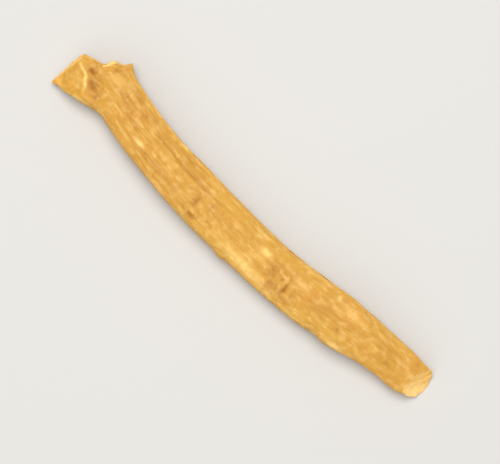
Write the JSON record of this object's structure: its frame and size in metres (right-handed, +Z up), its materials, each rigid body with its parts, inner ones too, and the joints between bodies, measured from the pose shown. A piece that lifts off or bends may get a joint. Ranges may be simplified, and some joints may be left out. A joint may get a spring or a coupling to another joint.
{
  "type": "dried ashwagandha root",
  "caption": "Dried medicinal root stick, gently bowed and tapering, with a forked crown, a cut side stub, a broken bud, fine lengthwise wrinkles and pale cut faces.",
  "frame": {"origin": "middle of the root's length and width, on the surface that it lies on", "axes": "+X from the forked crown to the cut tail, +Y towards the side of the broken bud, +Z up"},
  "size_m": [0.0964, 0.0155, 0.0103],
  "materials": {
    "bark": "dry matt bark, warm ochre, with pale cut wood at its ends"
  },
  "bodies": {
    "root": {"ashwagandha_root": "bark"}
  },
  "joints": []
}
